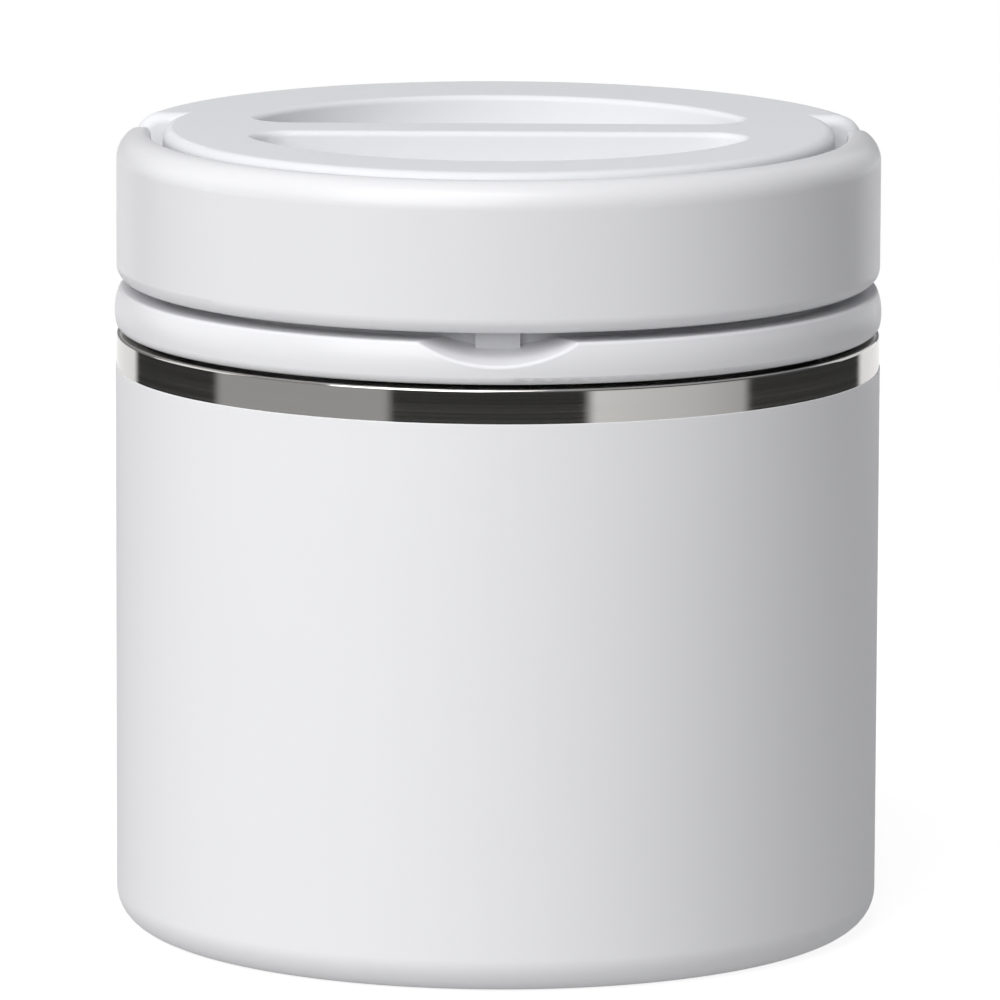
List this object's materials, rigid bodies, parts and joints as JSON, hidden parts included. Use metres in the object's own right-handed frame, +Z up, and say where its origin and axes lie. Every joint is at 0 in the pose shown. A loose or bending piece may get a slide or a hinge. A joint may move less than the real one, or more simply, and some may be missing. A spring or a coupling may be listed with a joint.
{
  "type": "insulated food jar",
  "caption": "Round vacuum-insulated steel food jar with a screw lid, a recessed grip bar in the deck and a C-shaped swing handle.",
  "frame": {"origin": "centre of the foot ring, on the surface the jar stands on", "axes": "+Z up along the jar's axis, -Y towards the front, where the handle's band and the finger scoop are, +X to the right"},
  "size_m": [0.1023, 0.1023, 0.107],
  "materials": {
    "stainless_steel": "polished",
    "powder_coat": "satin",
    "white_plastic": "gloss",
    "satin_plastic": "satin",
    "silicone": "matte",
    "foam": "matte",
    "solder_glass": "satin",
    "acetal": "satin"
  },
  "bodies": {
    "jar": {"outer_shell": "stainless_steel", "powder_coat": "powder_coat", "outer_base": "stainless_steel", "vacuum_seal": "solder_glass", "base_cover": "stainless_steel", "getter": "stainless_steel", "inner_liner": "stainless_steel", "inner_base": "stainless_steel"},
    "gasket": {"lid_gasket": "silicone"},
    "lid": {"lid_cap": "satin_plastic", "lid_collar": "white_plastic", "lid_plug": "white_plastic", "lid_insulation": "foam", "pivot_bush_left": "acetal", "pivot_bush_right": "acetal"},
    "handle": {"handle": "white_plastic", "pivot_pin_left": "stainless_steel", "pivot_pin_right": "stainless_steel", "pivot_washer_left": "silicone", "pivot_washer_right": "silicone"}
  },
  "joints": [
    {"name": "lid_lift", "type": "slide", "parent": "jar", "child": "gasket", "axis": [0, 0, 1], "range_m": [0, 0.032]},
    {"name": "lid_turn", "type": "hinge", "parent": "gasket", "child": "lid", "pos_m": [0, 0, 0], "axis": [0, 0, 1], "range_deg": [0, 1440]},
    {"name": "handle_swing", "type": "hinge", "parent": "lid", "child": "handle", "pos_m": [0, 0.002, 0.09663], "axis": [-1, 0, 0], "range_deg": [0, 90]}
  ],
  "couplings": [
    {"joint": "lid_lift", "follows": "lid_turn", "m_per_rad": 0.0012732}
  ]
}
